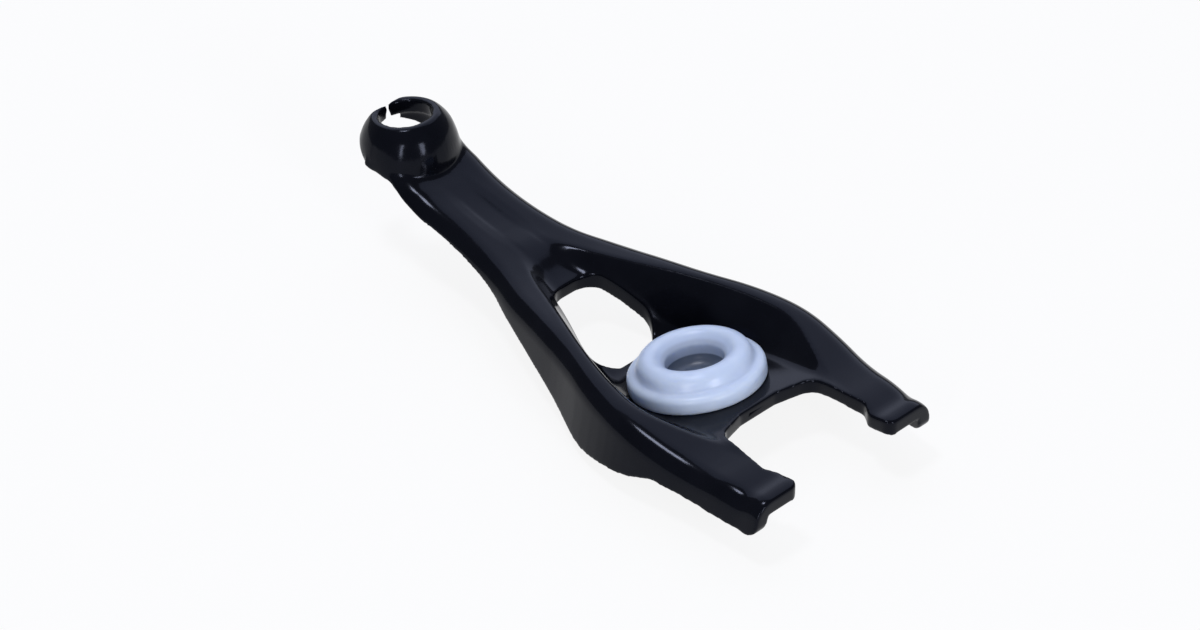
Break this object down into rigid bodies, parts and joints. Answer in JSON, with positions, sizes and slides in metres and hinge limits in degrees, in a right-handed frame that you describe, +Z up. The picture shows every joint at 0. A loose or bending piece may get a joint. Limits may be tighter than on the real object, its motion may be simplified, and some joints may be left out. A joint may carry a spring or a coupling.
{
  "type": "clutch fork",
  "caption": "Pressed-steel clutch release fork with an open channel body, a drawn eye at one end, two forked prongs and a nylon pivot cup.",
  "frame": {"origin": "centre of the ball that the pivot cup's socket holds, on the middle plane", "axes": "+X from the eye to the prong tips, +Y across the fork, +Z up out of the pocket"},
  "size_m": [0.1424, 0.0612, 0.0314],
  "materials": {
    "coated_steel": "gloss",
    "nylon": "satin"
  },
  "bodies": {
    "root": {"fork": "coated_steel", "pivot_cup": "nylon"}
  },
  "joints": []
}
